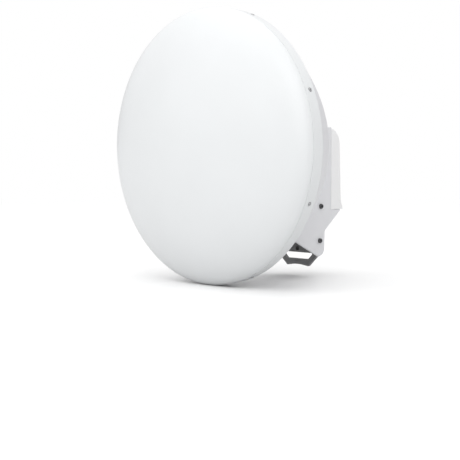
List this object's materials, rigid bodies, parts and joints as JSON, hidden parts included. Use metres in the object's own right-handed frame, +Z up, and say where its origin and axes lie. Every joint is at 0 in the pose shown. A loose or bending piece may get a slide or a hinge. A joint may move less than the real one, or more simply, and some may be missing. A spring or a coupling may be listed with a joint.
{
  "type": "outdoor wireless bridge",
  "caption": "Round dish under a domed radome, with its radio in a slim rear housing that tilts on a grey pole-mount bracket.",
  "frame": {"origin": "centre of the bolt holes on the tilt bracket's flat rear face, where a pole bracket bolts on", "axes": "+Y points back, away from the dish, along the beam's reverse; +Z is up; +X is to the right seen from in front of the dish"},
  "size_m": [0.3772, 0.282, 0.3772],
  "materials": {
    "white_plastic": "satin moulded plastic, UV-stable white",
    "white_shell": "matt white powder coat over moulded and pressed shells",
    "light_plastic": "satin moulded plastic, slightly lighter than the housing",
    "grey_casting": "dark grey powder coat on a casting",
    "steel": "stainless steel, as machined",
    "dark_steel": "blackened stainless steel",
    "aluminium": "chromated aluminium, satin",
    "brass": "plated brass, bright",
    "rubber": "matt silicone rubber",
    "dielectric": "milky microwave-grade plastic",
    "black_plastic": "matt moulded plastic",
    "board": "green solder mask on glass-epoxy board",
    "cable": "satin cable jacket",
    "clear": "clear acrylic",
    "nylon": "natural nylon"
  },
  "bodies": {
    "mount": {"tilt_bracket": "grey_casting", "pivot_bush_left": "nylon", "pivot_bush_right": "nylon"},
    "antenna": {"breather_vent": "black_plastic", "cable_grommet": "rubber", "ethernet_jack": "steel", "feed_cone": "dielectric", "feed_hub": "aluminium", "feed_tube": "aluminium", "ground_screw": "steel", "housing_frame": "white_shell", "hub_screw_1": "steel", "hub_screw_2": "steel", "hub_screw_3": "steel", "hub_screw_4": "steel", "jumper_left": "cable", "jumper_right": "cable", "light_pipe": "clear", "lock_nut_left": "steel", "lock_nut_right": "steel", "lock_screw_left": "dark_steel", "lock_screw_right": "dark_steel", "omt_body": "aluminium", "omt_port_left": "brass", "omt_port_right": "brass", "pivot_nut_left": "steel", "pivot_nut_right": "steel", "pivot_screw_left": "dark_steel", "pivot_screw_right": "dark_steel", "radio_board": "board", "radio_case": "white_plastic", "radio_heatsink": "aluminium", "radio_port_left": "brass", "radio_port_right": "brass", "radio_screw_1": "steel", "radio_screw_2": "steel", "radio_screw_3": "steel", "radio_screw_4": "steel", "radome": "white_plastic", "radome_screw_1": "steel", "radome_screw_2": "steel", "radome_screw_3": "steel", "radome_screw_4": "steel", "radome_screw_5": "steel", "radome_screw_6": "steel", "radome_screw_7": "steel", "radome_screw_8": "steel", "rear_shell": "white_shell", "reflector": "aluminium", "reset_switch": "black_plastic", "rim_gasket": "rubber", "shield_can": "steel", "splash_plate": "aluminium"},
    "cover": {"rear_cover": "light_plastic"},
    "door": {"port_door": "light_plastic"},
    "button": {"reset_button": "black_plastic"}
  },
  "joints": [
    {"name": "elevation_tilt", "type": "hinge", "parent": "mount", "child": "antenna", "pos_m": [0, -0.002, 0.05], "axis": [1, 0, 0], "range_deg": [-8, 8]},
    {"name": "cover_slide", "type": "slide", "parent": "antenna", "child": "cover", "axis": [0, 0, 1], "range_m": [0, 0.06]},
    {"name": "door_hinge", "type": "hinge", "parent": "antenna", "child": "door", "pos_m": [0, 0.0135, 0.02021], "axis": [-1, 0, 0], "range_deg": [0, 95]},
    {"name": "reset_press", "type": "slide", "parent": "antenna", "child": "button", "axis": [0, 0, 1], "range_m": [0, 0.0005], "stiffness_N_per_m": 400}
  ]
}
